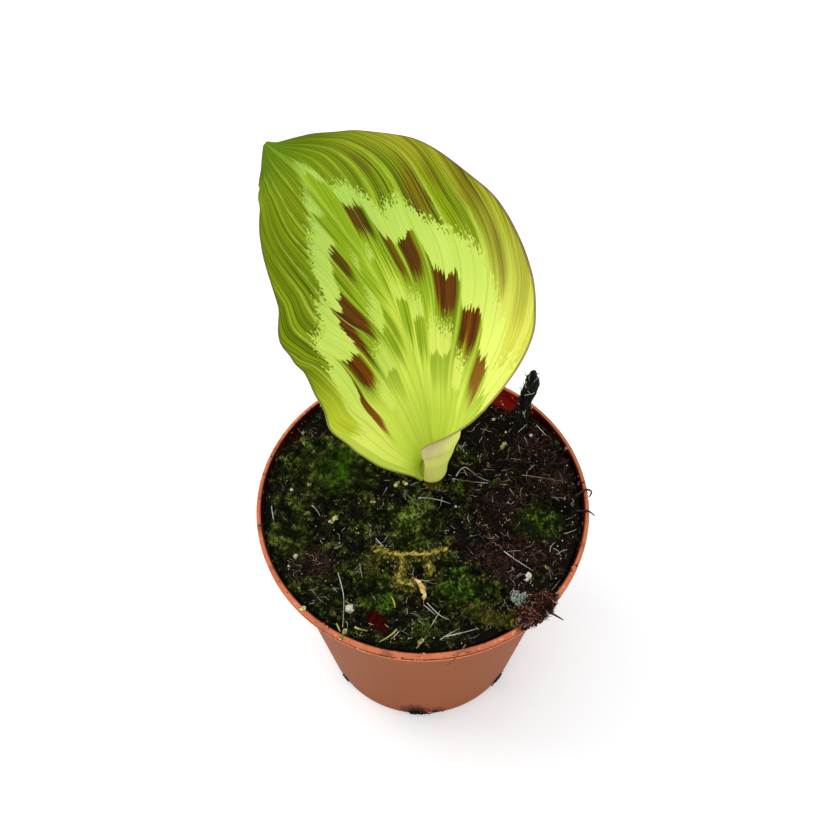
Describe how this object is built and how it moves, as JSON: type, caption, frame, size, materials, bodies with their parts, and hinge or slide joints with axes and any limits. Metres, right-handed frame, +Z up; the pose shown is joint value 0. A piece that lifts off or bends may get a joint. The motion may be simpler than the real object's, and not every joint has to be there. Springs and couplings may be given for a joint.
{
  "type": "potted peacock ginger",
  "caption": "Potted peacock ginger: one broad green, silver and maroon patterned leaf, rolled at its base, in mossy peat in a round tapered terracotta-coloured plastic nursery pot.",
  "frame": {"origin": "centre of the pot's flat underside", "axes": "+Z up, -Y towards the front of the pot, where the rolled base of the leaf laps over itself; the leaf leans back to +Y and its tip points to -X"},
  "size_m": [0.12, 0.1439, 0.212],
  "materials": {
    "terracotta_plastic": "satin terracotta-coloured moulded plastic, lighter on the rim",
    "peat": "rough dark moist peat with brown fibres",
    "leaf_blade": "soft waxy leaf, olive green with pale silver-green bands and maroon blotches",
    "scale_leaf": "dull olive brown, papery",
    "rhizome_skin": "pale buff skin with rings",
    "moss": "bright and dark green cushion moss",
    "dead_stub": "rough black fibres",
    "dried_stem": "dull yellow-green, cream at its dry tip",
    "bark": "dull dark red bark"
  },
  "bodies": {
    "root": {"pot": "terracotta_plastic", "soil": "peat", "leaf": "leaf_blade", "leaf_sheath": "scale_leaf", "rhizome": "rhizome_skin", "moss_back_left": "moss", "moss_left": "moss", "moss_centre": "moss", "moss_front": "moss", "moss_front_left": "moss", "moss_right": "moss", "root_stub": "dead_stub", "dried_strand": "dried_stem", "bark_flake": "bark"}
  },
  "joints": []
}
